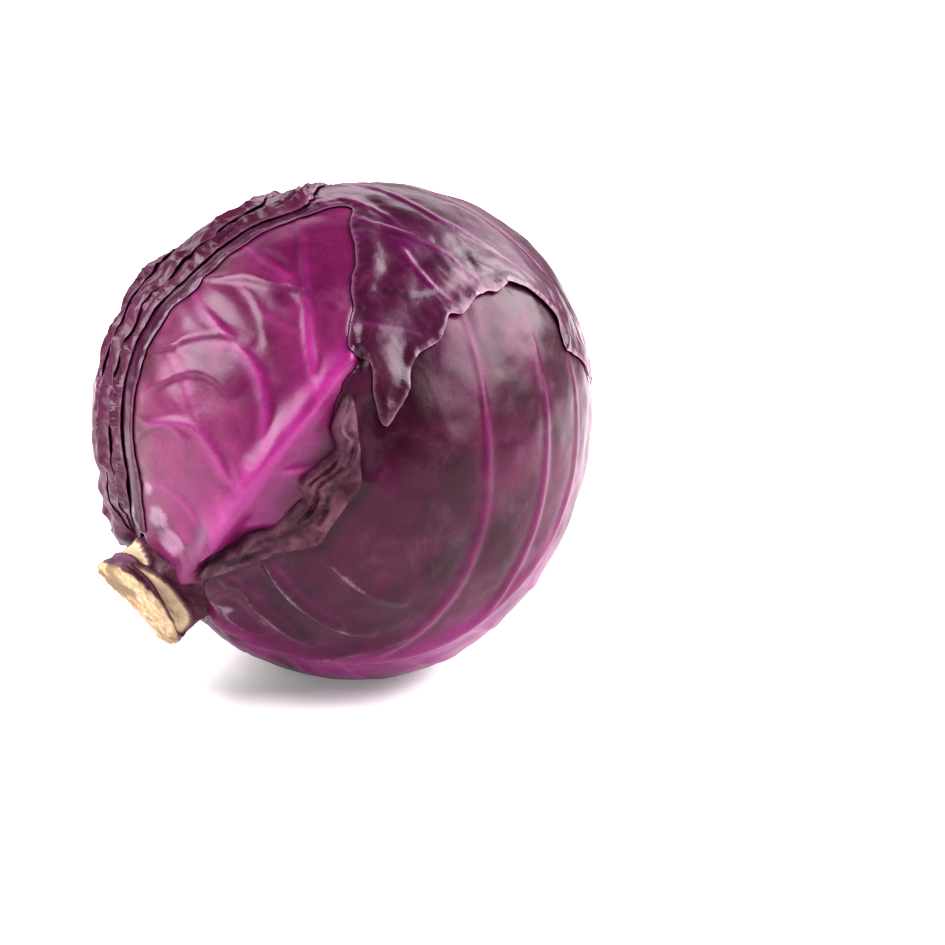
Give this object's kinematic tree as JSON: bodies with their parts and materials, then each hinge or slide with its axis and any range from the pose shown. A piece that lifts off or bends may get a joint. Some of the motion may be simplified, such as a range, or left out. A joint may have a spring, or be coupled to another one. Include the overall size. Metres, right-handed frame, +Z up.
{
  "type": "red cabbage",
  "caption": "Whole head of red cabbage lying on its side, with loose outer leaves wrapped round a tight heart and a cut stem end.",
  "frame": {"origin": "middle of the small flat spot that the head rests on", "axes": "+Z up; the head's cut stem end points to -X and a little towards -Y and down, and its leafy front faces -Y"},
  "size_m": [0.1688, 0.1664, 0.1627],
  "materials": {
    "heart": "satin",
    "leaf_front": "satin",
    "leaf_lower": "satin",
    "leaf_under": "satin",
    "leaf_top": "satin",
    "leaf_back": "satin",
    "leaf_left": "satin",
    "leaf_outer": "satin",
    "stem": "matte"
  },
  "bodies": {
    "root": {"heart": "heart", "leaf_front": "leaf_front", "leaf_lower": "leaf_lower", "leaf_under": "leaf_under", "leaf_top": "leaf_top", "leaf_back": "leaf_back", "leaf_left": "leaf_left", "leaf_outer": "leaf_outer", "stem": "stem"}
  },
  "joints": []
}
